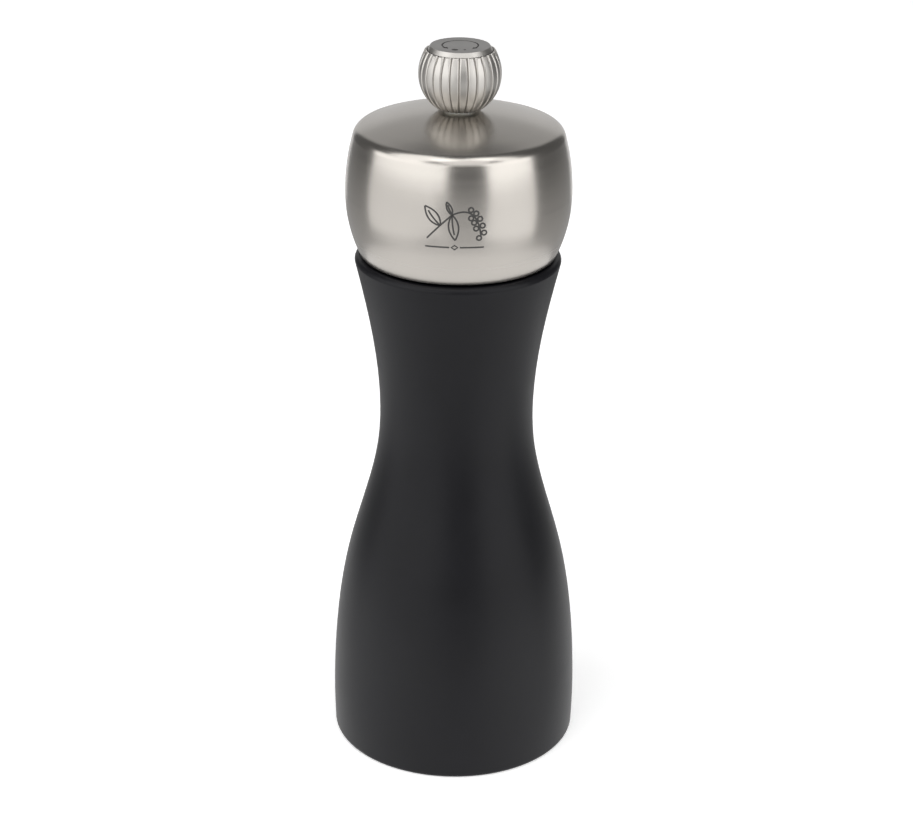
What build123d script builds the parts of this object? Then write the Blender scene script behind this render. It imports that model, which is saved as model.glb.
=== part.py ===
"""Pepper mill with a barrel-shaped steel head on an hourglass beech body, in millimetres.

Frame: the origin is the centre of the foot, on the surface the mill stands on, and +Z runs up the
spindle to the knob. Turning the head turns the spindle and grinds; screwing the knob down draws the
spindle up against the spring and sets a finer grind. At rest the mill is set to its coarsest grind.
"""

import os
from math import asin, cos, degrees, radians, sin

from build123d import *

os.makedirs("parts", exist_ok=True)

# ---------------------------------------------------------------- driving dimensions
TOTAL_H = 150.0  # foot to the top of the knob
BODY_H = 107.4  # foot to the top of the body's lip
FIT = 0.05  # radial clearance of a running fit
GAP = 0.1  # clearance between faces that only stand near each other

# body, as (radius, height) points from the foot to the lip
FOOT_R = 25.6
BELLY = (25.75, 8.0)
SHOULDER = (25.45, 18.5)
HIP = (22.05, 43.0)
UNDER_WAIST = (16.1, 66.7)
WAIST = (15.75, 75.0)
NECK = (18.15, 94.7)
LIP_R = 20.75
FOOT_EDGE = 1.0  # rounding of the foot's outer edge
LIP_EDGE = 1.2  # rounding of the lip's edges
CHAMBER_R = 12.0  # bore that holds the peppercorns
SEAT_R = 19.0  # shallow seat inside the lip
SEAT_Z = 106.3
MOUTH_R = 15.5  # bore that guides the head
MOUTH_Z = 96.0
MECHANISM_R = 16.0  # bore that holds the grinding ring
RECESS_R = 21.5  # wide recess under the foot
RECESS_Z = 4.5

# head
HEAD_R = 22.55  # widest radius, at HEAD_Z
HEAD_Z = 120.5
HEAD_LOWER_ARC = 29.3
HEAD_UPPER_ARC = 43.6
HEAD_BOTTOM_Z = 107.8
HEAD_TOP_Z = 133.4  # height of the top's edge
CROWN = 3.8  # rise of the top from its edge to its middle
HEAD_EDGE = 2.6  # rounding between side and top
SHELL_T = 0.8
FERRULE_R = 3.3
FERRULE_Z = 130.0
FERRULE_TOP_Z = 137.0
FERRULE_FLANGE_Z = 135.4
FERRULE_FLANGE_R = 4.6
FERRULE_FLANGE_T = 0.7
DRIVE_PLATE_T = 1.2
PLATE_SCREW_X = 9.5
PLATE_SCREW_R = 1.0
PLATE_SCREW_HEAD_R = 2.0
PLATE_SCREW_L = 7.0
TENON_R = 14.7
TENON_SHOULDER_R = 15.3
TENON_Z = 97.5
GLIDE_TOP_Z = 104.0
CORE_BORE_R = 3.5

# knob
KNOB_R = 8.16
KNOB_Z = 144.45  # centre of the ball
KNOB_BOTTOM_Z = 137.6
FLUTES = 28
FLUTE_START = -1.3  # angle of the first flute, in degrees
FLUTE_DEPTH = 0.34
FLUTE_HALF_WIDTH = 0.45
KNOB_SHOULDER = 18.0  # angle above the equator where the ball's side begins to run straighter
KNOB_TOP_R = 6.9
KNOB_TOP_Z = 149.15  # top land of the ball
KNOB_EDGE = 0.25  # rounding of the top land's edge
DISC_R = 5.85  # flat top
DISC_RIM_R = 6.35
DISC_RIM_Z = 149.15  # lower end of the bevel round the flat top
DISC_SEAT_R = 6.55  # recess in the ball that leaves a groove round the disc
DISC_Z = 148.65  # underside of the disc
DISC_PLUG_R = 4.9
DISC_PLUG_L = 0.6
MARK_R = 3.5
MARK_LINE = 0.32
MARK_ARROW = 1.15
MARK_DEPTH = 0.12
INSERT_R = 2.9
INSERT_TOP_Z = 147.9

# spindle: a square rod, turned round at both ends
SQUARE = 4.5
THREAD_R = 2.0
THREAD_PITCH = 0.7
THREAD_DEPTH = 0.4
THREAD_Z = 137.2
SPINDLE_TOP_Z = 146.0
SQUARE_TOP_Z = 128.0
SQUARE_BOTTOM_Z = 8.4
PIVOT_Z = 2.4

# grinding mechanism
STATOR_R = 15.9
STATOR_TOP_Z = 18.5
THROAT_Z = 11.5  # height where the coarse and the fine teeth meet
FINE_TEETH = 36
COARSE_TEETH = 6
NUT_POCKET_R = 6.0
NUT_POCKET_DEPTH = 3.2
ROTOR_BOTTOM_Z = 5.2
ROTOR_TOP_Z = 19.5
ROTOR_BOTTOM_R = 12.4
ROTOR_THROAT_R = 10.8
ROTOR_NECK_R = 5.8
COARSE_GAP = 0.5  # radial gap of the fine teeth at the coarsest grind
HOPPER_R = 13.6  # mouth of the grinding ring
STIRRUP_TOP_Z = 31.2
STIRRUP_T = 1.0  # sheet thickness
STIRRUP_W = 10.0
FOOT_REACH = 15.0  # outer ends of the strap's feet
BUSH_R = 4.0
BUSH_BORE_R = 3.4
BUSH_FLANGE_R = 5.3
BUSH_FLANGE_T = 0.8
ROTOR_WASHER_T = 0.8
NUT_ACROSS_FLATS = 7.0
NUT_H = 2.7
STIRRUP_REACH = 10.5  # outside of the legs
CROSSBAR_T = 1.5
CROSSBAR_W = 9.0
CROSSBAR_L = 41.0
SCREW_X = 18.4
SCREW_R = 1.5

SPRING_WIRE = 0.9
SPRING_R = 4.4
SPRING_TURNS = 5.5
SEAT_WASHER_T = 0.6


def save(part, name):
    """Labels a finished piece and writes it as its own STEP file."""
    part.label = name
    export_step(part, f"parts/{name}.step")
    print(f"{name:20s} {len(part.solids())} solid(s) {part.volume / 1000:8.3f} cm3")


# ---------------------------------------------------------------- body of the mill
with BuildPart() as mill_body:
    with BuildSketch(Plane.XZ):
        with BuildLine():
            side = Spline(
                (FOOT_R, FOOT_EDGE), BELLY, SHOULDER, HIP, UNDER_WAIST, WAIST, NECK,
                (LIP_R, BODY_H - LIP_EDGE),
            )
            Polyline(side @ 0, (FOOT_R, 0), (0, 0), (0, BODY_H), (LIP_R, BODY_H), side @ 1)
        make_face()
    revolve(axis=Axis.Z)
    with Locations((0, 0, BODY_H)):
        Hole(SEAT_R, depth=BODY_H - SEAT_Z)
        Hole(MOUTH_R, depth=BODY_H - MOUTH_Z)
        Hole(CHAMBER_R)
    with BuildSketch(Plane.XY):
        Circle(MECHANISM_R)
    extrude(amount=STATOR_TOP_Z + STIRRUP_T, mode=Mode.SUBTRACT)
    with BuildSketch(Plane.XY):
        Circle(RECESS_R)
    extrude(amount=RECESS_Z, mode=Mode.SUBTRACT)
    with BuildSketch(Plane.XY.offset(RECESS_Z)):
        with GridLocations(2 * SCREW_X, 0, 2, 1):
            Circle(SCREW_R + FIT)
    extrude(amount=10.0, mode=Mode.SUBTRACT)
    rings = mill_body.edges().filter_by(GeomType.CIRCLE)
    fillet(rings.group_by(Axis.Z)[0].sort_by(SortBy.RADIUS)[-1], FOOT_EDGE * 0.95)
    rings = mill_body.edges().filter_by(GeomType.CIRCLE)
    fillet(rings.group_by(Axis.Z)[0].sort_by(SortBy.RADIUS)[0], 0.5)
    lip = mill_body.edges().filter_by(GeomType.CIRCLE).group_by(Axis.Z)[-1].sort_by(SortBy.RADIUS)
    fillet(lip[-1], LIP_EDGE * 0.95)
    lip = mill_body.edges().filter_by(GeomType.CIRCLE).group_by(Axis.Z)[-1].sort_by(SortBy.RADIUS)
    fillet(lip[0], 0.4)
save(mill_body.part, "mill_body")


# ---------------------------------------------------------------- head
def barrel(inset, bottom_z):
    """Solid of the head's outer shape, drawn in by inset all round, from bottom_z up."""
    lower_r = HEAD_LOWER_ARC - inset
    upper_r = HEAD_UPPER_ARC - inset
    top_z = HEAD_TOP_Z - inset
    lower_angle = degrees(asin((HEAD_Z - bottom_z) / lower_r))
    upper_angle = degrees(asin((top_z - HEAD_Z) / upper_r))
    with BuildPart() as shape:
        with BuildSketch(Plane.XZ) as profile:
            with BuildLine():
                lower = CenterArc((HEAD_R - HEAD_LOWER_ARC, HEAD_Z), lower_r, -lower_angle, lower_angle)
                upper = CenterArc((HEAD_R - HEAD_UPPER_ARC, HEAD_Z), upper_r, 0, upper_angle)
                crown = TangentArc((0, top_z + CROWN), upper @ 1, tangent=(1, 0))
                Polyline(crown @ 0, (0, bottom_z), lower @ 0)
            make_face()
            corner = profile.vertices().sort_by_distance(upper @ 1)[0]
            fillet(corner, HEAD_EDGE - inset)
        revolve(axis=Axis.Z)
    return shape.part


with BuildPart() as head_shell:
    add(barrel(0, HEAD_BOTTOM_Z))
    add(barrel(SHELL_T, HEAD_BOTTOM_Z - 1), mode=Mode.SUBTRACT)
    with Locations((0, 0, HEAD_TOP_Z + CROWN)):
        Hole(FERRULE_R + FIT, depth=3.0)
    shell_foot = head_shell.edges().filter_by(GeomType.CIRCLE).group_by(Axis.Z)[0]
    fillet(shell_foot, SHELL_T * 0.3)
save(head_shell.part, "head_shell")

with BuildPart() as head_core:
    add(barrel(SHELL_T + FIT, SEAT_Z + GAP))
    with BuildSketch(Plane.XY.offset(TENON_Z)):
        Circle(TENON_R)
    extrude(amount=GLIDE_TOP_Z - TENON_Z)
    with BuildSketch(Plane.XY.offset(GLIDE_TOP_Z)):
        Circle(TENON_SHOULDER_R)
    extrude(amount=SEAT_Z + GAP - GLIDE_TOP_Z)
    with Locations((0, 0, HEAD_TOP_Z + CROWN)):
        Hole(FERRULE_R + FIT)
        Hole(FERRULE_FLANGE_R + FIT, depth=HEAD_TOP_Z + CROWN - FERRULE_FLANGE_Z)
    with BuildSketch(Plane.XY.offset(TENON_Z)):
        Circle(CORE_BORE_R)
    extrude(amount=FERRULE_Z - TENON_Z - GAP, mode=Mode.SUBTRACT)
    with BuildSketch(Plane.XY.offset(TENON_Z)):
        with GridLocations(2 * PLATE_SCREW_X, 0, 2, 1):
            Circle(PLATE_SCREW_R + FIT)
    extrude(amount=PLATE_SCREW_L, mode=Mode.SUBTRACT)
save(head_core.part, "head_core")

# steel bush through the middle of the head; its flange is held between the core and the shell
with BuildPart() as head_ferrule:
    with BuildSketch(Plane.XY.offset(FERRULE_Z)):
        Circle(FERRULE_R)
    extrude(amount=FERRULE_TOP_Z - FERRULE_Z)
    with BuildSketch(Plane.XY.offset(FERRULE_FLANGE_Z)):
        Circle(FERRULE_FLANGE_R)
    extrude(amount=FERRULE_FLANGE_T)
    with Locations((0, 0, FERRULE_TOP_Z)):
        Hole(THREAD_R + 3 * FIT)
save(head_ferrule.part, "head_ferrule")

# steel plate under the tenon, whose square hole turns the spindle
with BuildPart() as drive_plate:
    with BuildSketch(Plane.XY.offset(TENON_Z - DRIVE_PLATE_T)):
        Circle(TENON_SHOULDER_R - FIT)
        Rectangle(SQUARE + 2 * GAP, SQUARE + 2 * GAP, mode=Mode.SUBTRACT)
    extrude(amount=DRIVE_PLATE_T)
    with Locations(Plane.XY.offset(TENON_Z - DRIVE_PLATE_T) * Rotation(180, 0, 0)):
        with GridLocations(2 * PLATE_SCREW_X, 0, 2, 1):
            CounterSinkHole(PLATE_SCREW_R + FIT, PLATE_SCREW_HEAD_R + FIT, counter_sink_angle=90)
save(drive_plate.part, "drive_plate")


def wood_screw(radius, head_radius, length):
    """Countersunk screw, pointing up, with its head's face at z = 0, a pointed tip and a cross slot."""
    with BuildPart() as screw:
        with BuildSketch(Plane.XZ):
            with BuildLine():
                Polyline(
                    (0, 0), (head_radius, 0), (radius, head_radius - radius),
                    (radius, length - 1.5 * radius), (0, length), close=True,
                )
            make_face()
        revolve(axis=Axis.Z)
        with BuildSketch(Plane.XY):
            Rectangle(1.3 * head_radius, 0.3 * head_radius)
            Rectangle(0.3 * head_radius, 1.3 * head_radius)
        extrude(amount=0.6 * (head_radius - radius), mode=Mode.SUBTRACT)
    return screw.part


with BuildPart() as drive_plate_screws:
    with Locations((0, 0, TENON_Z - DRIVE_PLATE_T)):
        with GridLocations(2 * PLATE_SCREW_X, 0, 2, 1):
            add(wood_screw(PLATE_SCREW_R, PLATE_SCREW_HEAD_R, PLATE_SCREW_L))
save(drive_plate_screws.part, "drive_plate_screws")

# nylon ring that the tenon turns in; it comes out of the body with the head
with BuildPart() as glide_ring:
    with BuildSketch(Plane.XY.offset(TENON_Z + GAP)):
        Circle(MOUTH_R - FIT)
        Circle(TENON_R + FIT, mode=Mode.SUBTRACT)
    extrude(amount=GLIDE_TOP_Z - TENON_Z - 2 * GAP)
    chamfer(glide_ring.edges().group_by(Axis.Z)[0].sort_by(SortBy.RADIUS)[-1], 0.25)
save(glide_ring.part, "glide_ring")


# ---------------------------------------------------------------- knob
def flute_cutter():
    """Thin wedge with hollow sides, swept up one meridian of the ball from below its foot past its top."""
    start = -66.0
    sweep_angle = 116.0
    outward = Vector(cos(radians(start)), 0, sin(radians(start)))
    upward = Vector(-sin(radians(start)), 0, cos(radians(start)))
    with BuildPart() as cutter:
        with BuildSketch(Plane(origin=(0, 0, KNOB_Z), x_dir=outward, z_dir=upward)):
            with BuildLine():
                root = (KNOB_R - FLUTE_DEPTH, 0)
                for side in (-1, 1):
                    ThreePointArc(
                        root,
                        (KNOB_R - 0.35 * FLUTE_DEPTH, side * 0.25 * FLUTE_HALF_WIDTH),
                        (KNOB_R + 0.02, side * FLUTE_HALF_WIDTH),
                    )
                Polyline(
                    (KNOB_R + 0.02, -FLUTE_HALF_WIDTH), (KNOB_R + 0.5, -FLUTE_HALF_WIDTH),
                    (KNOB_R + 0.5, FLUTE_HALF_WIDTH), (KNOB_R + 0.02, FLUTE_HALF_WIDTH),
                )
            make_face()
        revolve(axis=Axis((0, 0, KNOB_Z), (0, -1, 0)), revolution_arc=sweep_angle)
    return cutter.part


with BuildPart() as knob_ball:
    with BuildSketch(Plane.XZ) as ball_profile:
        with BuildLine():
            ball_side = CenterArc((0, KNOB_Z), KNOB_R, -90, 90 + KNOB_SHOULDER)
            shoulder = TangentArc(ball_side @ 1, (KNOB_TOP_R, KNOB_TOP_Z), tangent=ball_side % 1)
            Polyline(shoulder @ 1, (0, KNOB_TOP_Z), ball_side @ 0)
        make_face()
        fillet(ball_profile.vertices().sort_by_distance(shoulder @ 1)[0], KNOB_EDGE)
    revolve(axis=Axis.Z)
    with PolarLocations(0, FLUTES, start_angle=FLUTE_START):
        add(flute_cutter(), mode=Mode.SUBTRACT)
    split(bisect_by=Plane.XY.offset(KNOB_BOTTOM_Z), keep=Keep.TOP)
    with Locations((0, 0, KNOB_TOP_Z)):
        Hole(DISC_SEAT_R, depth=KNOB_TOP_Z - DISC_Z + FIT)
        Hole(DISC_PLUG_R + FIT, depth=KNOB_TOP_Z - DISC_Z + DISC_PLUG_L + FIT)
        Hole(INSERT_R + FIT)
save(knob_ball.part, "knob_ball")

# brass insert; its bore is plain, just over the thread's crest, in place of the tapped thread
with BuildPart() as knob_insert:
    with BuildSketch(Plane.XY.offset(KNOB_BOTTOM_Z)):
        Circle(INSERT_R)
        Circle(THREAD_R + 3 * FIT, mode=Mode.SUBTRACT)
    extrude(amount=INSERT_TOP_Z - KNOB_BOTTOM_Z)
save(knob_insert.part, "knob_insert")


def grind_mark():
    """Sketch of a curved double arrow, open to the front, between a coarse grain and a fine one."""
    right = -30.0
    left = 210.0
    with BuildSketch() as mark:
        with BuildLine():
            outer = CenterArc((0, 0), MARK_R + MARK_LINE / 2, right, left - right)
            inner = CenterArc((0, 0), MARK_R - MARK_LINE / 2, right, left - right)
            Line(outer @ 0, inner @ 0)
            Line(outer @ 1, inner @ 1)
        make_face()
        for angle, turn in ((right, -1), (left, 1)):
            tip = angle + turn * degrees(MARK_ARROW / MARK_R)
            with BuildLine():
                Polyline(
                    Vector(MARK_R, 0).rotate(Axis.Z, tip),
                    Vector(MARK_R + 0.5 * MARK_ARROW, 0).rotate(Axis.Z, angle),
                    Vector(MARK_R - 0.5 * MARK_ARROW, 0).rotate(Axis.Z, angle),
                    close=True,
                )
            make_face()
        with Locations(Vector(MARK_R, 0).rotate(Axis.Z, 253)):
            Circle(0.62)
        with Locations(Vector(MARK_R, 0).rotate(Axis.Z, 285)):
            Circle(0.3)
    return mark.sketch


with BuildPart() as knob_disc:
    with BuildSketch(Plane.XZ):
        with BuildLine():
            Polyline(
                (DISC_RIM_R, DISC_Z), (DISC_RIM_R, DISC_RIM_Z), (DISC_R, TOTAL_H), (0, TOTAL_H),
                (0, DISC_Z - DISC_PLUG_L), (DISC_PLUG_R, DISC_Z - DISC_PLUG_L),
                (DISC_PLUG_R, DISC_Z), close=True,
            )
        make_face()
    revolve(axis=Axis.Z)
    with BuildSketch(Plane.XY.offset(TOTAL_H)):
        add(grind_mark())
    extrude(amount=-MARK_DEPTH, mode=Mode.SUBTRACT)
save(knob_disc.part, "knob_disc")

with BuildPart() as knob_washer:
    with BuildSketch(Plane.XY.offset(FERRULE_TOP_Z)):
        Circle(FERRULE_R - FIT)
        Circle(THREAD_R + 3 * FIT, mode=Mode.SUBTRACT)
    extrude(amount=KNOB_BOTTOM_Z - FERRULE_TOP_Z - FIT)
save(knob_washer.part, "knob_washer")


# ---------------------------------------------------------------- spindle
def thread(radius, depth, pitch, bottom_z, top_z):
    """Ridge of a thread, to be joined to a core of the root radius."""
    root = radius - depth
    with BuildPart() as ridge:
        with BuildLine() as spiral:
            path = Helix(pitch, top_z - bottom_z - pitch, root, center=(0, 0, bottom_z + pitch / 2))
        with BuildSketch(Plane(origin=path @ 0, x_dir=(1, 0, 0), z_dir=path % 0)):
            with BuildLine():
                Polyline(
                    (-0.06, -0.44 * pitch), (depth, -0.06 * pitch), (depth, 0.06 * pitch),
                    (-0.06, 0.44 * pitch), close=True,
                )
            make_face()
        sweep(path=spiral.wires()[0], is_frenet=True)
    return ridge.part


with BuildPart() as shaft:
    with BuildSketch(Plane.XY.offset(SQUARE_BOTTOM_Z)):
        Rectangle(SQUARE, SQUARE)
    extrude(amount=SQUARE_TOP_Z - SQUARE_BOTTOM_Z)
    chamfer(shaft.edges().filter_by(Axis.Z), 0.15)
    with BuildSketch(Plane.XY.offset(PIVOT_Z)):
        Circle(THREAD_R)
    extrude(amount=SQUARE_BOTTOM_Z - PIVOT_Z)
    with BuildSketch(Plane.XY.offset(SQUARE_TOP_Z)):
        Circle(THREAD_R)
    extrude(amount=THREAD_Z - SQUARE_TOP_Z)
    with BuildSketch(Plane.XY.offset(THREAD_Z)):
        Circle(THREAD_R - THREAD_DEPTH)
    extrude(amount=SPINDLE_TOP_Z - THREAD_Z)
    add(thread(THREAD_R, THREAD_DEPTH, THREAD_PITCH, THREAD_Z, SPINDLE_TOP_Z - 0.3))
save(shaft.part, "shaft")


# ---------------------------------------------------------------- grinding mechanism
def groove_cutter(low, high, half_width, depth, skew):
    """Wedge for one V groove, from low to high, each a (radius, height), leaning by skew degrees.

    A positive depth cuts in from the outside of a cone, a negative one out from the inside.
    """
    reach = 0.5 * depth
    width = 1.5 * half_width
    with BuildPart() as cutter:
        for (radius, z), angle in ((low, 0), (high, skew)):
            with BuildSketch(Plane(origin=(0, 0, z)) * Rotation(0, 0, angle) * Location((radius, 0, 0))):
                with BuildLine():
                    Polyline((-depth, 0), (reach, -width), (reach, width), close=True)
                make_face()
        loft(ruled=True)
    return cutter.part


# burr that turns, square-holed for the shaft
with BuildPart() as rotor:
    fine_low = (ROTOR_BOTTOM_R, ROTOR_BOTTOM_Z + 0.6)
    fine_high = (ROTOR_THROAT_R, THROAT_Z)
    coarse_high = (ROTOR_NECK_R, ROTOR_TOP_Z - 1.2)
    with BuildSketch(Plane.XZ):
        with BuildLine():
            Polyline(
                (0, ROTOR_BOTTOM_Z), (ROTOR_BOTTOM_R, ROTOR_BOTTOM_Z), fine_low, fine_high,
                coarse_high, (ROTOR_NECK_R - 0.5, ROTOR_TOP_Z), (0, ROTOR_TOP_Z), close=True,
            )
        make_face()
    revolve(axis=Axis.Z)
    with BuildSketch(Plane.XY.offset(ROTOR_BOTTOM_Z)):
        Circle(NUT_POCKET_R)
    extrude(amount=NUT_POCKET_DEPTH, mode=Mode.SUBTRACT)
    with BuildSketch(Plane.XY.offset(ROTOR_BOTTOM_Z)):
        Rectangle(SQUARE + 2 * FIT, SQUARE + 2 * FIT)
    extrude(amount=ROTOR_TOP_Z, mode=Mode.SUBTRACT)
    fine_groove = groove_cutter((ROTOR_BOTTOM_R + 0.2, ROTOR_BOTTOM_Z - 0.1), fine_high, 0.4, 0.6, 12)
    coarse_groove = groove_cutter(fine_high, coarse_high, 1.6, 1.5, 35)
    with PolarLocations(0, FINE_TEETH):
        add(fine_groove, mode=Mode.SUBTRACT)
    with PolarLocations(0, COARSE_TEETH):
        add(coarse_groove, mode=Mode.SUBTRACT)
save(rotor.part, "rotor")

with BuildPart() as rotor_washer:
    with BuildSketch(Plane.XY.offset(SQUARE_BOTTOM_Z - ROTOR_WASHER_T)):
        Circle(4.5)
        Circle(THREAD_R + FIT, mode=Mode.SUBTRACT)
    extrude(amount=ROTOR_WASHER_T)
save(rotor_washer.part, "rotor_washer")

with BuildPart() as rotor_nut:
    nut_top_z = SQUARE_BOTTOM_Z - ROTOR_WASHER_T
    flat_r = NUT_ACROSS_FLATS / 2
    with BuildSketch(Plane.XY.offset(nut_top_z - NUT_H)):
        RegularPolygon(NUT_ACROSS_FLATS / 2, 6, major_radius=False)
    extrude(amount=NUT_H)
    with BuildSketch(Plane.XZ):
        with BuildLine():
            Polyline(
                (0, nut_top_z), (flat_r, nut_top_z), (flat_r + 0.7, nut_top_z - 0.4),
                (flat_r + 0.7, nut_top_z - NUT_H + 0.4), (flat_r, nut_top_z - NUT_H),
                (0, nut_top_z - NUT_H), close=True,
            )
        make_face()
    revolve(axis=Axis.Z, mode=Mode.INTERSECT)
    with Locations((0, 0, nut_top_z)):
        Hole(THREAD_R + FIT, depth=NUT_H)
save(rotor_nut.part, "rotor_nut")

# burr that stands still, clamped under the body's wood by the crossbar
with BuildPart() as stator:
    slope = (ROTOR_BOTTOM_R - ROTOR_THROAT_R) / (THROAT_Z - ROTOR_BOTTOM_Z - 0.6)
    throat = (ROTOR_THROAT_R + COARSE_GAP, THROAT_Z)
    outlet = (throat[0] + slope * (THROAT_Z - RECESS_Z), RECESS_Z)
    hopper = (HOPPER_R, STATOR_TOP_Z)
    with BuildSketch(Plane.XZ):
        with BuildLine():
            Polyline(
                outlet, (STATOR_R, RECESS_Z), (STATOR_R, STATOR_TOP_Z), hopper, throat, close=True,
            )
        make_face()
    revolve(axis=Axis.Z)
    with PolarLocations(0, FINE_TEETH):
        add(groove_cutter(outlet, throat, 0.4, -0.6, -12), mode=Mode.SUBTRACT)
    with PolarLocations(0, 2 * COARSE_TEETH):
        add(groove_cutter(throat, hopper, 1.4, -1.3, -20), mode=Mode.SUBTRACT)
save(stator.part, "stator")

# bent strap that stands on the grinding ring and holds the upper end of the spring
with BuildPart() as stirrup:
    strap_foot_z = STATOR_TOP_Z + STIRRUP_T
    strap_under_z = STIRRUP_TOP_Z - STIRRUP_T
    strap_inside = STIRRUP_REACH - STIRRUP_T
    with BuildSketch(Plane.XZ) as strap:
        with BuildLine():
            Polyline(
                (0, STIRRUP_TOP_Z), (STIRRUP_REACH, STIRRUP_TOP_Z), (STIRRUP_REACH, strap_foot_z),
                (FOOT_REACH, strap_foot_z), (FOOT_REACH, STATOR_TOP_Z),
                (strap_inside, STATOR_TOP_Z), (strap_inside, strap_under_z),
                (0, strap_under_z), close=True,
            )
        make_face()
        for outside_bend in ((STIRRUP_REACH, STIRRUP_TOP_Z), (strap_inside, STATOR_TOP_Z)):
            fillet(strap.vertices().sort_by_distance(outside_bend)[0], 1.5)
        for inside_bend in ((strap_inside, strap_under_z), (STIRRUP_REACH, strap_foot_z)):
            fillet(strap.vertices().sort_by_distance(inside_bend)[0], 0.5)
        mirror(about=Plane.YZ)
    extrude(amount=STIRRUP_W / 2, both=True)
    with Locations((0, 0, STIRRUP_TOP_Z)):
        Hole(BUSH_R + FIT, depth=2 * STIRRUP_T)
save(stirrup.part, "stirrup")

# nylon bush that guides the shaft through the strap and seats the spring
with BuildPart() as guide_bush:
    flange_top_z = STIRRUP_TOP_Z - STIRRUP_T
    with BuildSketch(Plane.XY.offset(flange_top_z - BUSH_FLANGE_T)):
        Circle(BUSH_FLANGE_R)
    extrude(amount=BUSH_FLANGE_T)
    with BuildSketch(Plane.XY.offset(flange_top_z)):
        Circle(BUSH_R)
    extrude(amount=STIRRUP_T + 0.5)
    with Locations((0, 0, flange_top_z - BUSH_FLANGE_T)):
        Hole(BUSH_BORE_R)
save(guide_bush.part, "guide_bush")

# lies on the rotor and turns with it under the spring
with BuildPart() as thrust_washer:
    with BuildSketch(Plane.XY.offset(ROTOR_TOP_Z + FIT)):
        Circle(BUSH_FLANGE_R)
        Circle(BUSH_BORE_R, mode=Mode.SUBTRACT)
    extrude(amount=SEAT_WASHER_T)
save(thrust_washer.part, "thrust_washer")

with BuildPart() as spring:
    spring_bottom_z = ROTOR_TOP_Z + FIT + SEAT_WASHER_T
    spring_top_z = STIRRUP_TOP_Z - STIRRUP_T - BUSH_FLANGE_T
    with BuildLine() as coil:
        rise = spring_top_z - spring_bottom_z - SPRING_WIRE - 2 * FIT
        wire_start = (0, 0, spring_bottom_z + SPRING_WIRE / 2 + FIT)
        wire = Helix(rise / SPRING_TURNS, rise, SPRING_R, center=wire_start)
    with BuildSketch(Plane(origin=wire @ 0, z_dir=wire % 0)):
        Circle(SPRING_WIRE / 2)
    sweep(path=coil.wires()[0], is_frenet=True)
save(spring.part, "spring")

# bar across the foot that carries the grinding ring and guides the lower end of the shaft
with BuildPart() as crossbar:
    with BuildSketch(Plane.XY.offset(RECESS_Z - CROSSBAR_T)):
        SlotOverall(CROSSBAR_L, CROSSBAR_W)
        Circle(THREAD_R + FIT, mode=Mode.SUBTRACT)
        with GridLocations(2 * SCREW_X, 0, 2, 1):
            Circle(SCREW_R + GAP, mode=Mode.SUBTRACT)
    extrude(amount=CROSSBAR_T)
save(crossbar.part, "crossbar")

with BuildPart() as crossbar_screws:
    with GridLocations(2 * SCREW_X, 0, 2, 1):
        with Locations((0, 0, RECESS_Z - CROSSBAR_T)):
            Cylinder(SCREW_R, 9.0, align=(Align.CENTER, Align.CENTER, Align.MIN))
            Cylinder(2.5, 1.3, align=(Align.CENTER, Align.CENTER, Align.MAX))
    heads = crossbar_screws.edges().filter_by(GeomType.CIRCLE).group_by(Axis.Z)
    fillet(heads[0], 0.6)
    chamfer(heads[-1], 0.9)
    with BuildSketch(Plane.XY.offset(RECESS_Z - CROSSBAR_T - 1.3)):
        with GridLocations(2 * SCREW_X, 0, 2, 1):
            Rectangle(2.6, 0.6)
            Rectangle(0.6, 2.6)
    extrude(amount=0.8, mode=Mode.SUBTRACT)
save(crossbar_screws.part, "crossbar_screws")
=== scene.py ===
"""Studio view of a pepper mill: black-lacquered beech body, spun steel head and fluted steel knob."""

from math import cos, pi, radians, sin, tan

import bmesh
import bpy
from mathutils import Matrix, Vector
from mathutils.bvhtree import BVHTree


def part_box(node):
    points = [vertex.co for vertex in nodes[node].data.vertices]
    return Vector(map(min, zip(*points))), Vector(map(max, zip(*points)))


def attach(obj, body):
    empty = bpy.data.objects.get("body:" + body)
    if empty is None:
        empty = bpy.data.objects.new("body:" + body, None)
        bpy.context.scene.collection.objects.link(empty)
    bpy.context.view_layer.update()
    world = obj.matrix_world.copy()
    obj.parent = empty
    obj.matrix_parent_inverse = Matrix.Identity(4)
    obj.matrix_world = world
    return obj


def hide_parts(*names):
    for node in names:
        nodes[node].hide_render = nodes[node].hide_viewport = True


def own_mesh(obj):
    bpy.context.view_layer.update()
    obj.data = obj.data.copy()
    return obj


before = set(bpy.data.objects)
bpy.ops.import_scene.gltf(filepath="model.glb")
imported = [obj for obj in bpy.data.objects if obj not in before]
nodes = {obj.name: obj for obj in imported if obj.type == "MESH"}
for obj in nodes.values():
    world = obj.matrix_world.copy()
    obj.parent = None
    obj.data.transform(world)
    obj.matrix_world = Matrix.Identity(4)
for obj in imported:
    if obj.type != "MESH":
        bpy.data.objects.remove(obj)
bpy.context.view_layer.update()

MM = 0.001
scene = bpy.context.scene


# ---------------------------------------------------------------- camera
def look(position, pitch, roll, lens):
    """Camera that looks along +Y, tipped down by pitch and turned about its view by roll, in degrees."""
    forward = Vector((0, cos(radians(pitch)), -sin(radians(pitch))))
    right = Vector((1, 0, 0))
    up = right.cross(forward)
    turned_right = right * cos(radians(roll)) + up * sin(radians(roll))
    turned_up = up * cos(radians(roll)) - right * sin(radians(roll))
    data = bpy.data.cameras.new("camera")
    data.lens = lens
    data.sensor_width = 36.0
    data.clip_start = 0.01
    data.clip_end = 20.0
    camera = bpy.data.objects.new("camera", data)
    scene.collection.objects.link(camera)
    camera.matrix_world = Matrix.Translation(position) @ Matrix(
        (turned_right, turned_up, -forward)
    ).transposed().to_4x4()
    scene.camera = camera


look(Vector((0.0, -451.4, 272.6)) * MM, 23.8, 0.6, 94.3)


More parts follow.
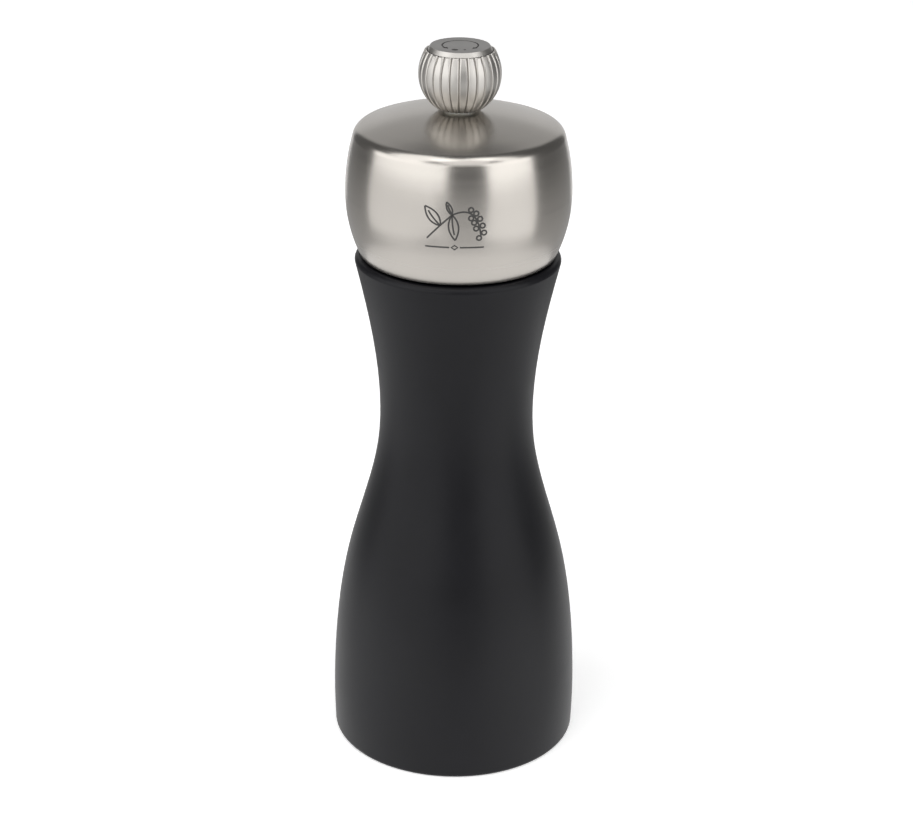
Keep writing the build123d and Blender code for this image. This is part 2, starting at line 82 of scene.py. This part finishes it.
# ---------------------------------------------------------------- materials
# sockets of a Mix node that mixes two colours
MIX_FIRST = 6
MIX_SECOND = 7
MIX_RESULT = 2


class Nodes:
    """Short names for building one material's node tree."""

    def __init__(self, name):
        self.material = bpy.data.materials.new(name)
        self.material.use_nodes = True
        self.tree = self.material.node_tree
        self.bsdf = next(n for n in self.tree.nodes if n.type == "BSDF_PRINCIPLED")

    def add(self, kind, inputs=(), **settings):
        node = self.tree.nodes.new(kind)
        for key, value in settings.items():
            setattr(node, key, value)
        for key, value in dict(inputs).items():
            self.put(node, key, value)
        return node

    def put(self, node, key, value):
        if isinstance(value, bpy.types.NodeSocket):
            self.tree.links.new(value, node.inputs[key])
        else:
            node.inputs[key].default_value = value

    def surface(self, **values):
        for key, value in values.items():
            self.put(self.bsdf, key.replace("_", " "), value)

    def position(self):
        return self.add("ShaderNodeTexCoord").outputs["Object"]

    def math(self, operation, a, b):
        return self.add("ShaderNodeMath", {0: a, 1: b}, operation=operation).outputs[0]

    def noise(self, vector, scale, detail=3.0, roughness=0.5):
        node = self.add(
            "ShaderNodeTexNoise",
            {"Vector": vector, "Scale": scale, "Detail": detail, "Roughness": roughness},
        )
        return node.outputs["Fac"]

    def spread(self, value, low, high, to_low, to_high):
        return self.add(
            "ShaderNodeMapRange",
            {"Value": value, "From Min": low, "From Max": high, "To Min": to_low, "To Max": to_high},
        ).outputs["Result"]

    def colours(self, value, *stops):
        node = self.add("ShaderNodeValToRGB", {"Fac": value})
        ramp = node.color_ramp
        while len(ramp.elements) < len(stops):
            ramp.elements.new(0.5)
        for element, (place, colour) in zip(ramp.elements, stops):
            element.position = place
            element.color = (*colour, 1.0)
        return node.outputs["Color"]

    def scaled(self, vector, scale):
        return self.add("ShaderNodeMapping", {"Vector": vector, "Scale": scale}).outputs["Vector"]

    def radius_and_height(self, vector):
        """Distance from the mill's axis and height, as the first two numbers of a vector."""
        split = self.add("ShaderNodeSeparateXYZ", {"Vector": vector})
        flat = self.add("ShaderNodeCombineXYZ", {"X": split.outputs["X"], "Y": split.outputs["Y"]})
        length = self.add("ShaderNodeVectorMath", {0: flat.outputs[0]}, operation="LENGTH")
        return self.add(
            "ShaderNodeCombineXYZ", {"X": length.outputs["Value"], "Y": split.outputs["Z"]}
        ).outputs[0]

    def bump(self, height, strength, distance):
        node = self.add(
            "ShaderNodeBump", {"Height": height, "Strength": strength, "Distance": distance}
        )
        self.put(self.bsdf, "Normal", node.outputs["Normal"])


def lacquer():
    """Matt black lacquer, sprayed over turned beech whose pores just show."""
    m = Nodes("black_lacquer")
    place = m.position()
    pores = m.noise(m.scaled(place, (1600.0, 1600.0, 220.0)), 1.0, 2.0)
    mottle = m.noise(place, 90.0, 3.0)
    grit = m.noise(place, 5200.0, 2.0)
    m.surface(
        Base_Color=m.colours(
            mottle, (0.3, (0.0034, 0.0034, 0.0048)), (0.7, (0.0046, 0.0046, 0.0064))
        ),
        Roughness=m.spread(m.math("ADD", mottle, grit), 0.6, 1.4, 0.38, 0.45),
        Specular_IOR_Level=0.22,
    )
    m.bump(m.math("ADD", m.math("MULTIPLY", pores, 0.6), grit), 0.35, 0.000012)
    return m.material


def beech(name, along):
    """Natural beech: pale growth bands and short dark flecks running along the given axis."""
    m = Nodes(name)
    place = m.position()
    stretch = [26.0 if axis == along else 420.0 for axis in "XYZ"]
    fine = [300.0 if axis == along else 2600.0 for axis in "XYZ"]
    bands = m.noise(m.scaled(place, stretch), 1.0, 4.0, 0.6)
    flecks = m.noise(m.scaled(place, fine), 1.0, 2.0, 0.6)
    tone = m.colours(
        bands, (0.25, (0.40, 0.235, 0.115)), (0.55, (0.54, 0.345, 0.185)), (0.8, (0.62, 0.42, 0.24))
    )
    dark = m.add(
        "ShaderNodeMix",
        {"Factor": m.spread(flecks, 0.62, 0.72, 0.0, 0.55)},
        data_type="RGBA",
    )
    m.put(dark, MIX_FIRST, tone)
    m.put(dark, MIX_SECOND, (0.23, 0.12, 0.055, 1.0))
    m.surface(Base_Color=dark.outputs[MIX_RESULT], Roughness=m.spread(bands, 0.3, 0.7, 0.62, 0.5))
    m.bump(m.math("ADD", m.math("MULTIPLY", bands, 0.5), flecks), 0.5, 0.00006)
    return m.material


def spun_steel(name, colour, roughness, ring, anisotropy, depth):
    """Stainless steel finished on a lathe: fine rings about the axis, with a little uneven polish."""
    m = Nodes(name)
    place = m.position()
    across = m.radius_and_height(place)
    rings = m.noise(across, ring, 4.0, 0.7)
    broad = m.noise(across, ring * 0.08, 2.0)
    patch = m.noise(place, 60.0, 3.0)
    tangent = m.add("ShaderNodeTangent", direction_type="RADIAL", axis="Z")
    shade = m.math("ADD", m.math("MULTIPLY", rings, 0.5), m.math("MULTIPLY", patch, 0.5))
    low = tuple(0.94 * c for c in colour)
    m.surface(
        Base_Color=m.colours(shade, (0.3, low), (0.7, colour)),
        Metallic=1.0,
        Roughness=m.spread(m.math("ADD", rings, broad), 0.6, 1.4, roughness - 0.03, roughness + 0.03),
        Anisotropic=anisotropy,
        Anisotropic_Rotation=0.25,
        Tangent=tangent.outputs[0],
    )
    m.bump(rings, 0.4, depth)
    return m.material


def plain_steel(name, colour, roughness, grain, depth):
    """Pressed or drawn steel under a thin plating, faintly mottled."""
    m = Nodes(name)
    place = m.position()
    mottle = m.noise(place, grain, 4.0, 0.6)
    spots = m.noise(place, grain * 6.0, 2.0)
    low = tuple(0.82 * c for c in colour)
    m.surface(
        Base_Color=m.colours(mottle, (0.3, low), (0.7, colour)),
        Metallic=1.0,
        Roughness=m.spread(spots, 0.3, 0.7, roughness - 0.06, roughness + 0.08),
    )
    m.bump(spots, 0.3, depth)
    return m.material


def nylon():
    """Natural nylon, slightly translucent, with faint turning marks."""
    m = Nodes("nylon")
    place = m.position()
    across = m.radius_and_height(place)
    marks = m.noise(across, 6000.0, 2.0)
    cloud = m.noise(place, 300.0, 3.0)
    m.surface(
        Base_Color=m.colours(cloud, (0.3, (0.70, 0.68, 0.61)), (0.7, (0.78, 0.765, 0.70))),
        Roughness=m.spread(marks, 0.3, 0.7, 0.34, 0.46),
        Subsurface_Weight=0.15,
    )
    m.bump(marks, 0.3, 0.00001)
    return m.material


def etched():
    """Dark grey etched line, rougher than the steel round it."""
    m = Nodes("etched_mark")
    place = m.position()
    grain = m.noise(place, 9000.0, 2.0)
    m.surface(
        Base_Color=m.colours(grain, (0.3, (0.030, 0.029, 0.028)), (0.7, (0.055, 0.053, 0.050))),
        Metallic=0.2,
        Roughness=m.spread(grain, 0.3, 0.7, 0.42, 0.6),
    )
    m.bump(grain, 0.3, 0.00001)
    return m.material


LACQUER = lacquer()
BEECH_BODY = beech("beech_along_z", "Z")
SATIN = spun_steel("satin_head_steel", (0.542, 0.513, 0.476), 0.25, 5200.0, 0.45, 0.000002)
BRIGHT = spun_steel("knob_steel", (0.58, 0.56, 0.53), 0.38, 6000.0, 0.2, 0.000003)
DISC = spun_steel("disc_steel", (0.34, 0.33, 0.32), 0.36, 6000.0, 0.2, 0.000003)
ROD = plain_steel("drawn_rod", (0.50, 0.50, 0.50), 0.28, 500.0, 0.000006)
PLATED = plain_steel("zinc_plate", (0.60, 0.62, 0.63), 0.33, 350.0, 0.000008)
HARD = plain_steel("burr_steel", (0.15, 0.15, 0.155), 0.42, 700.0, 0.00002)
WIRE = plain_steel("spring_wire", (0.38, 0.38, 0.39), 0.30, 900.0, 0.000006)
BRASS = spun_steel("turned_brass", (0.62, 0.42, 0.16), 0.25, 5000.0, 0.3, 0.000006)
NYLON = nylon()
ETCH = etched()

FINISH = {
    "mill_body": LACQUER,
    "head_core": BEECH_BODY,
    "head_shell": SATIN,
    "head_ferrule": BRIGHT,
    "drive_plate": PLATED,
    "drive_plate_screws": PLATED,
    "glide_ring": NYLON,
    "knob_washer": NYLON,
    "guide_bush": NYLON,
    "knob_ball": BRIGHT,
    "knob_disc": DISC,
    "knob_insert": BRASS,
    "shaft": ROD,
    "rotor": HARD,
    "stator": HARD,
    "rotor_washer": PLATED,
    "rotor_nut": PLATED,
    "thrust_washer": PLATED,
    "stirrup": PLATED,
    "spring": WIRE,
    "crossbar": PLATED,
    "crossbar_screws": PLATED,
}
for name, material in FINISH.items():
    mesh = nodes[name].data
    mesh.materials.clear()
    mesh.materials.append(material)


# places where the finish changes within one piece, and where painted shade and a painted highlight go,
# in millimetres
BARE_BORE_R = 15.62  # the body is bare wood inside this radius at any height
BARE_RECESS_R = 21.4  # and inside this one between the two heights that follow
FOOT_FACE_Z = 0.6  # the face that the mill stands on lies below this
MECHANISM_TOP_Z = 19.6  # the bore for the grinding ring ends below this
# the core's rim below this height and outside this radius gets black lacquer as painted shade
CORE_RIM_Z = 110.0
CORE_RIM_R = 15.0
DISC_TOP_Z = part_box("knob_disc")[1].z / MM
DISC_BEVEL_Z = DISC_TOP_Z - 0.84  # the bevel's faces lie above this
ENGRAVED_MIN = 0.05  # the disc's engraving lies between these depths
ENGRAVED_MAX = 0.2
FLAT = 0.9  # a face whose normal rises more than this lies flat


def paint(name, material, inside):
    """Gives the faces of a piece that pass the test their own material."""
    mesh = nodes[name].data
    mesh.materials.append(material)
    for face in mesh.polygons:
        if inside(face):
            face.material_index = len(mesh.materials) - 1


def bare_wood(face):
    """Faces of the bores and of the recess under the foot, which the lacquer leaves bare."""
    radius = face.center.xy.length / MM
    height = face.center.z / MM
    return radius < BARE_BORE_R or (radius < BARE_RECESS_R and FOOT_FACE_Z < height < MECHANISM_TOP_Z)


def core_rim_shade(face):
    """The rim of the core that shows in the gap between head and body, blacked like the body as painted
    shade so the gap reads dark.
    """
    return face.center.z / MM < CORE_RIM_Z and face.center.xy.length / MM > CORE_RIM_R


def engraved(face):
    """Floor of the engraving in the disc."""
    depth = DISC_TOP_Z - face.center.z / MM
    return face.normal.z > FLAT and ENGRAVED_MIN < depth < ENGRAVED_MAX


def bevel_highlight(face):
    """Bevel round the disc's flat top, given the brighter knob steel as a painted highlight."""
    return face.center.z / MM > DISC_BEVEL_Z and 0.1 < face.normal.z < FLAT


paint("mill_body", BEECH_BODY, bare_wood)
# painted shade: the core's rim in the gap under the head is lacquered black
paint("head_core", LACQUER, core_rim_shade)
paint("knob_disc", ETCH, engraved)
# painted highlight: the disc's bevel gets the brighter knob steel
paint("knob_disc", BRIGHT, bevel_highlight)


# ---------------------------------------------------------------- meshes made from cross-sections
def skin(work, rows, closed):
    """Joins rows of corners, each one cross-section, into a loop or into a tube with end faces."""
    following = rows[1:] + rows[:1] if closed else rows[1:]
    for one, two in zip(rows, following):
        for corner in range(len(one)):
            turn = (corner + 1) % len(one)
            work.faces.new((one[corner], one[turn], two[turn], two[corner]))
    if not closed:
        work.faces.new(rows[0])
        work.faces.new(rows[-1])


def piece_from(work, name, material):
    """Turns a working mesh into a piece of the scene, in one material."""
    bmesh.ops.recalc_face_normals(work, faces=work.faces)
    mesh = bpy.data.meshes.new(name)
    work.to_mesh(mesh)
    work.free()
    mesh.materials.append(material)
    piece = bpy.data.objects.new(name, mesh)
    scene.collection.objects.link(piece)
    return piece


# ---------------------------------------------------------------- mark on the head
def bezier(start, pull, end, steps):
    """Points along a quadratic curve in the plane."""
    points = []
    for step in range(steps + 1):
        t = step / steps
        points.append(start * (1 - t) ** 2 + pull * 2 * t * (1 - t) + end * t**2)
    return points


def ring(centre, radius, steps=20):
    """Points round a circle in the plane."""
    return [
        centre + radius * Vector((cos(2 * pi * step / steps), sin(2 * pi * step / steps)))
        for step in range(steps)
    ]


def leaf(base, tip, bulge):
    """A pointed leaf: two curved edges and a midrib that stops short of the tip."""
    run = tip - base
    side = Vector((-run.y, run.x)).normalized() * bulge
    middle = base + 0.45 * run
    yield bezier(base, middle + side, tip, 12), False
    yield bezier(base, middle - side, tip, 12), False
    yield bezier(base, middle + 0.15 * side, base + 0.78 * run, 8), False


def rule(middle, height):
    """A thin rule in two halves, with a small diamond between them."""
    centre = Vector((middle, height))
    for side in (-1, 1):
        near, halfway, far = (centre + Vector((side * reach, 0)) for reach in (1.0, 3.0, 5.6))
        yield bezier(near, halfway, far, 16), False
    corners = ((0.6, 0), (0, 0.45), (-0.6, 0), (0, -0.45))
    yield [centre + Vector(corner) for corner in corners], True


def sprig():
    """A pepper sprig over a thin rule: stem, leaves and a drooping spike of berries, in millimetres.

    The first number of a point is x, the second the height. Berries sit on both sides of the stem,
    placed by fiftieths of its curve, and one hangs at the end.
    """
    berry = 0.46
    reach = 0.66
    knot = Vector((-1.2, 123.1))
    stem = bezier(knot, Vector((3.6, 125.4)), Vector((4.3, 118.9)), 50)
    yield bezier(Vector((-6.0, 118.2)), Vector((-3.6, 121.0)), knot, 14), False
    yield stem, False
    yield from leaf(Vector((-3.4, 120.9)), Vector((-6.4, 124.6)), 1.9)
    yield from leaf(knot, Vector((-0.6, 118.0)), -1.9)
    yield from leaf(knot, Vector((-2.3, 125.6)), 0.9)
    for side, places in ((-1, (28, 36, 43)), (1, (21, 28, 35, 42, 48))):
        for place in places:
            along = (stem[place + 1] - stem[place - 1]).normalized()
            yield ring(stem[place] + side * reach * Vector((-along.y, along.x)), berry), True
    yield ring(stem[-1] + Vector((-0.35, -0.45)), berry), True
    yield from rule(-0.7, 116.5)


def etch(lines, target, width, proud, sunk):
    """Thin closed ribbons laid on the front of a solid of revolution, along lines in the x-z plane."""
    tree = BVHTree.FromObject(target, bpy.context.evaluated_depsgraph_get())
    ahead = Vector((0, 1, 0))
    work = bmesh.new()
    for points, closed in lines:
        count = len(points)
        rows = []
        for index, point in enumerate(points):
            before = points[index - 1] if closed or index else point
            after = points[(index + 1) % count] if closed or index + 1 < count else point
            along = (after - before).normalized()
            across = Vector((-along.y, along.x)) * width / 2
            left = point + across
            right = point - across
            row = []
            for place, lift in ((left, proud), (right, proud), (right, -sunk), (left, -sunk)):
                before_head = Vector((place.x * MM, -1.0, place.y * MM))
                hit, normal, _, _ = tree.ray_cast(before_head, ahead)
                row.append(work.verts.new(hit + normal * lift * MM))
            rows.append(row)
        skin(work, rows, closed)
    return piece_from(work, "head_mark", ETCH)


head_mark = etch(sprig(), nodes["head_shell"], width=0.33, proud=0.012, sunk=0.05)
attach(head_mark, "head")


# ---------------------------------------------------------------- spring
def coil_spring(low, high, wire, turns, closed_turns):
    """Compression spring with closed and ground ends, standing in the box from low to high."""
    around = 12
    per_turn = 40
    sunk = 0.35 * wire  # from the ground face up to the middle of the wire
    closed_pitch = 1.02 * wire
    radius = (high.x - low.x) / 2 - wire / 2
    open_turns = turns - 2 * closed_turns
    open_rise = high.z - low.z - 2 * sunk - 2 * closed_turns * closed_pitch
    open_pitch = open_rise / open_turns
    work = bmesh.new()
    rows = []
    for step in range(int(turns * per_turn) + 1):
        turn = step / per_turn
        height = low.z + sunk + closed_pitch * min(turn, closed_turns)
        height += open_pitch * min(max(turn - closed_turns, 0.0), open_turns)
        height += closed_pitch * max(turn - closed_turns - open_turns, 0.0)
        outward = Vector((cos(2 * pi * turn), sin(2 * pi * turn), 0))
        row = []
        for corner in range(around):
            swing = 2 * pi * corner / around
            place = outward * (radius + wire / 2 * cos(swing))
            place.z = min(max(height + wire / 2 * sin(swing), low.z), high.z)
            row.append(work.verts.new(place))
        rows.append(row)
    skin(work, rows, closed=False)
    for face in work.faces:
        face.smooth = len(face.verts) == 4
    return piece_from(work, "coil_spring", WIRE)


spring_low, spring_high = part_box("spring")
coil = coil_spring(spring_low, spring_high, wire=0.9 * MM, turns=6.0, closed_turns=1.0)
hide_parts("spring")
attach(coil, "mill_base")
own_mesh(coil)


# ---------------------------------------------------------------- floor, lights and background
def floor():
    """White light table: it glows, takes the mill's shadow, and leaves the steel to the lights alone."""
    mesh = bpy.data.meshes.new("floor")
    reach = 3.0
    corners = [(-reach, -reach, 0), (reach, -reach, 0), (reach, reach, 0), (-reach, reach, 0)]
    mesh.from_pydata(corners, [], [(0, 1, 2, 3)])
    m = Nodes("white_sweep")
    grain = m.noise(m.position(), 40.0, 3.0)
    m.surface(
        Base_Color=m.colours(grain, (0.3, (0.895, 0.895, 0.895)), (0.7, (0.905, 0.905, 0.905))),
        Roughness=0.85,
        Specular_IOR_Level=0.1,
        Emission_Color=(1.0, 1.0, 1.0, 1.0),
        Emission_Strength=0.47,
    )
    mesh.materials.append(m.material)
    sweep = bpy.data.objects.new("floor", mesh)
    sweep.visible_glossy = False
    sweep.visible_shadow = False
    scene.collection.objects.link(sweep)


LIGHT_DISTANCE = 1.2
LIGHT_AIM = Vector((0, 0, 0.12))
TABLE_LIGHT_R = 0.18
TABLE_LIGHT_DEPTH = 0.004  # how far the table's light lies under the floor
AREA_POWER = 4.0  # power for each unit of area and of radiance


def panel(name, azimuths, elevations, radiance):
    """Flat light that fills a range of directions, in degrees, as seen from the mill's head.

    Azimuth 0 is the camera's side, and it grows to the camera's right.
    """
    azimuth = radians(sum(azimuths) / 2)
    elevation = radians(sum(elevations) / 2)
    half_width = radians((azimuths[1] - azimuths[0]) / 2)
    half_height = radians((elevations[1] - elevations[0]) / 2)
    place = LIGHT_AIM + LIGHT_DISTANCE * Vector(
        (sin(azimuth) * cos(elevation), -cos(azimuth) * cos(elevation), sin(elevation))
    )
    data = bpy.data.lights.new(name, "AREA")
    data.shape = "RECTANGLE"
    data.size = 2 * LIGHT_DISTANCE * cos(elevation) * tan(half_width)
    data.size_y = 2 * LIGHT_DISTANCE * tan(half_height)
    data.energy = AREA_POWER * data.size * data.size_y * radiance
    light = bpy.data.objects.new(name, data)
    light.location = place
    light.rotation_euler = (LIGHT_AIM - place).to_track_quat("-Z", "Y").to_euler()
    scene.collection.objects.link(light)
    return light


def light_table():
    """Round light just under the floor, which shines up on the foot and the lower head."""
    data = bpy.data.lights.new("light_table", "AREA")
    data.shape = "DISK"
    data.size = 2 * TABLE_LIGHT_R
    data.energy = AREA_POWER * pi * TABLE_LIGHT_R**2 * 0.50
    light = bpy.data.objects.new("light_table", data)
    light.location = (0, 0, -TABLE_LIGHT_DEPTH)
    light.rotation_euler = (pi, 0, 0)
    scene.collection.objects.link(light)


def studio_walls(*greys):
    """Plain surroundings: a grey for each height, from 0 straight down to 1 straight up."""
    world = bpy.data.worlds.new("studio")
    world.use_nodes = True
    tree = world.node_tree
    direction = tree.nodes.new("ShaderNodeTexCoord")
    split = tree.nodes.new("ShaderNodeSeparateXYZ")
    half = tree.nodes.new("ShaderNodeMath")
    half.operation = "MULTIPLY_ADD"
    half.inputs[1].default_value = 0.5
    half.inputs[2].default_value = 0.5
    shade = tree.nodes.new("ShaderNodeValToRGB")
    ramp = shade.color_ramp
    while len(ramp.elements) < len(greys):
        ramp.elements.new(0.5)
    for element, (place, grey) in zip(ramp.elements, greys):
        element.position = place
        element.color = (grey, grey, grey, 1.0)
    tree.links.new(direction.outputs["Generated"], split.inputs[0])
    tree.links.new(split.outputs["Z"], half.inputs[0])
    tree.links.new(half.outputs[0], shade.inputs[0])
    tree.links.new(shade.outputs["Color"], tree.nodes["Background"].inputs[0])
    scene.world = world


floor()
panel("left_high", (-101, -11), (1, 34), 1.36)
panel("left_low", (-101, -21), (-32, 1), 0.62)
panel("left_edge", (-21, -8), (-32, 4), 0.36)
panel("right_high", (28, 83), (1, 34), 1.44)
panel("right_low", (28, 83), (-32, 1), 0.74)
panel("front_strip", (-11, 28), (27, 34), 1.0)
panel("left_top", (-101, -30), (34, 84), 1.3)
panel("front_high", (-30, 45), (34, 80), 0.9)
panel("right_top", (45, 83), (34, 84), 1.3)
panel("front_low", (-8, 28), (-32, 0), 0.20)
panel("back_low", (153, 207), (-20, 22), 0.16)
panel("back_high", (150, 210), (-20, 50), 0.30)
overhead = panel("overhead", (160, 200), (65, 115), 1.6)
overhead.visible_glossy = False
light_table()
studio_walls((0.0, 0.45), (0.29, 0.42), (0.36, 0.34), (0.41, 0.24), (0.475, 0.13), (1.0, 0.09))
scene.view_settings.view_transform = "Standard"
scene.view_settings.look = "None"
